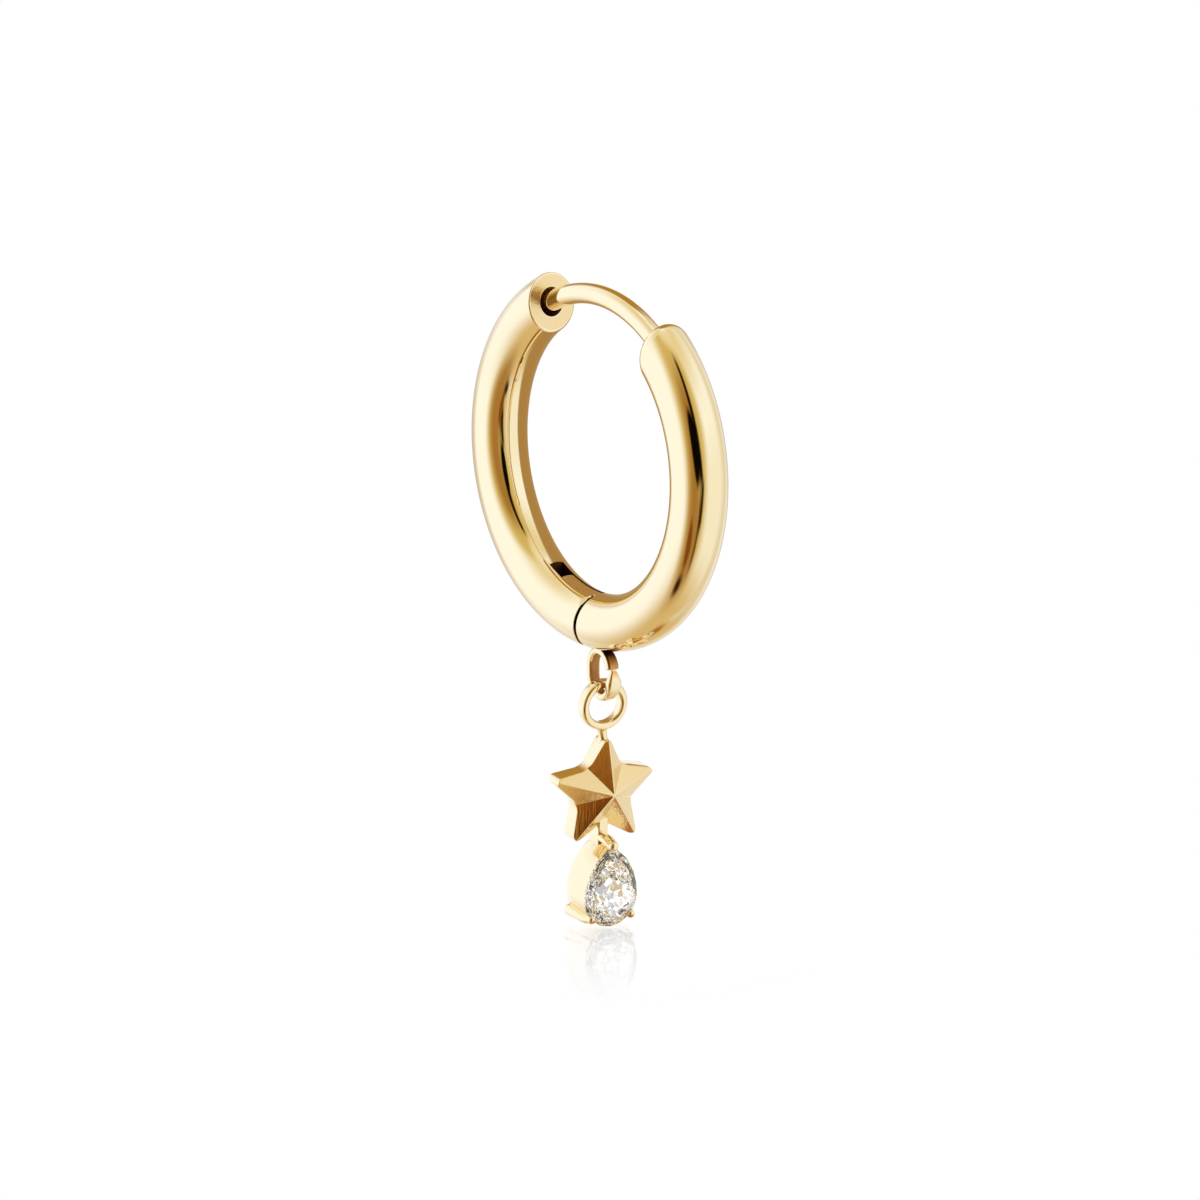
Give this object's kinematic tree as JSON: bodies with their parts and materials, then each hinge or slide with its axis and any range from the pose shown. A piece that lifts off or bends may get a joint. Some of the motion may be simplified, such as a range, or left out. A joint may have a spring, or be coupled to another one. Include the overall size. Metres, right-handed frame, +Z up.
{
  "type": "hinged hoop earring with hanging charm",
  "caption": "Round tube hoop earring that opens on a hinge, with a fixed ear wire and a hanging charm: a faceted star over a clear pear-cut stone in a claw cup.",
  "frame": {"origin": "crown of the ear wire, on its centre line, where the earring hangs from the ear", "axes": "+Z up, the hoop stands in the YZ plane, the star and stone face -Y, X across the tube"},
  "size_m": [0.0048, 0.017, 0.0288],
  "materials": {
    "gold": "polished gold plating",
    "stone": "polished facets"
  },
  "bodies": {
    "post_half": {"post_half": "gold", "ear_wire": "gold"},
    "catch_half": {"catch_half": "gold", "hinge_pin": "gold"},
    "star_drop": {"star_drop": "gold", "pear_stone": "stone"}
  },
  "joints": [
    {"name": "hoop_hinge", "type": "hinge", "parent": "post_half", "child": "catch_half", "pos_m": [0, 0.00145, -0.01485], "axis": [-1, 0, 0], "range_deg": [0, 45]},
    {"name": "drop_swing", "type": "hinge", "parent": "post_half", "child": "star_drop", "pos_m": [0, -0.00045, -0.01787], "axis": [0.1219, 0.9925, 0], "range_deg": [-90, 90]}
  ]
}
